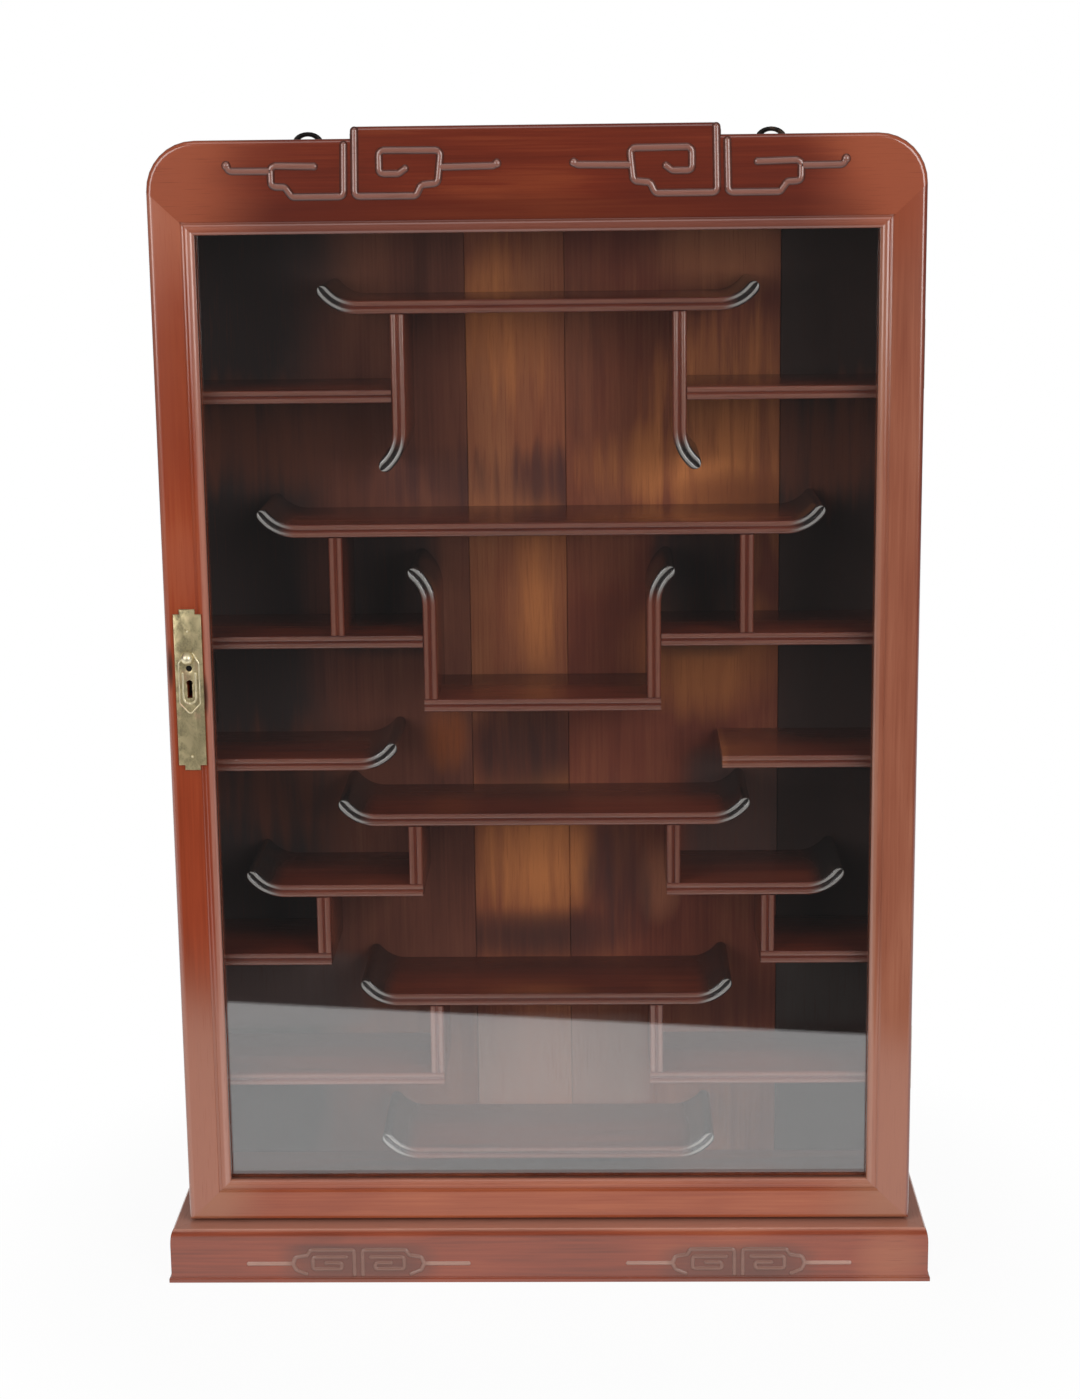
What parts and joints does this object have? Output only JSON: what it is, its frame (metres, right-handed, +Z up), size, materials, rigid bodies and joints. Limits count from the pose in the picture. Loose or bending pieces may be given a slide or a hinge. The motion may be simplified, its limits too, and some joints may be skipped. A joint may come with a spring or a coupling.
{
  "type": "wall display cabinet",
  "caption": "Shallow hardwood wall cabinet with a glazed, lockable, carved door over stepped display shelves with upturned ends, on a moulded base.",
  "frame": {"origin": "under the middle of the base, on the surface that it stands on", "axes": "+Z up, +Y towards the wall, +X to the right of someone facing the door"},
  "size_m": [0.549, 0.1354, 0.8161],
  "materials": {
    "rosewood": "polished reddish hardwood",
    "shelf_wood": "polished dark hardwood",
    "back_wood": "satin upright boards",
    "plain_wood": "unpolished",
    "aged_brass": "dulled with age",
    "dark_metal": "dark iron",
    "clear_glass": "clear float glass"
  },
  "bodies": {
    "case": {"side_panel_left": "rosewood", "side_panel_right": "rosewood", "top_panel": "rosewood", "floor_panel": "rosewood", "back_board_1": "back_wood", "back_board_2": "back_wood", "back_board_3": "back_wood", "back_board_4": "back_wood", "base_front": "rosewood", "base_left": "rosewood", "base_right": "rosewood", "base_back": "plain_wood", "upper_shelf_centre": "shelf_wood", "upper_divider_left": "shelf_wood", "upper_divider_right": "shelf_wood", "upper_shelf_left": "shelf_wood", "upper_shelf_right": "shelf_wood", "long_shelf": "shelf_wood", "long_divider_left": "shelf_wood", "long_divider_right": "shelf_wood", "long_side_shelf_left": "shelf_wood", "long_side_shelf_right": "shelf_wood", "well_wall_left": "shelf_wood", "well_wall_right": "shelf_wood", "well_floor": "shelf_wood", "bracket_shelf_left": "shelf_wood", "bracket_shelf_right": "shelf_wood", "middle_shelf_centre": "shelf_wood", "middle_divider_left": "shelf_wood", "middle_divider_right": "shelf_wood", "middle_shelf_left": "shelf_wood", "middle_shelf_right": "shelf_wood", "step_divider_left": "shelf_wood", "step_divider_right": "shelf_wood", "step_shelf_left": "shelf_wood", "step_shelf_right": "shelf_wood", "lower_shelf_centre": "shelf_wood", "lower_divider_left": "shelf_wood", "lower_divider_right": "shelf_wood", "lower_shelf_left": "shelf_wood", "lower_shelf_right": "shelf_wood", "bottom_shelf_centre": "shelf_wood", "bottom_shelf_batten": "plain_wood", "hanging_eye_left": "dark_metal", "hanging_eye_right": "dark_metal", "hinge_upper_case_leaf": "aged_brass", "hinge_upper_pin": "aged_brass", "hinge_lower_case_leaf": "aged_brass", "hinge_lower_pin": "aged_brass"},
    "door": {"door_stile_left": "rosewood", "door_stile_right": "rosewood", "door_bottom_rail": "rosewood", "door_top_rail": "rosewood", "glazing_bead": "rosewood", "door_glass": "clear_glass", "lock_plate": "aged_brass", "lock_case": "dark_metal", "hinge_upper_door_leaf": "aged_brass", "hinge_lower_door_leaf": "aged_brass"},
    "lock_bolt": {"lock_bolt": "aged_brass"}
  },
  "joints": [
    {"name": "door_hinge", "type": "hinge", "parent": "case", "child": "door", "pos_m": [0.2603, -0.03325, 0.0425], "axis": [0, 0, 1], "range_deg": [0, 170]},
    {"name": "bolt_slide", "type": "slide", "parent": "door", "child": "lock_bolt", "axis": [-1, 0, 0], "range_m": [0, 0.005]}
  ]
}
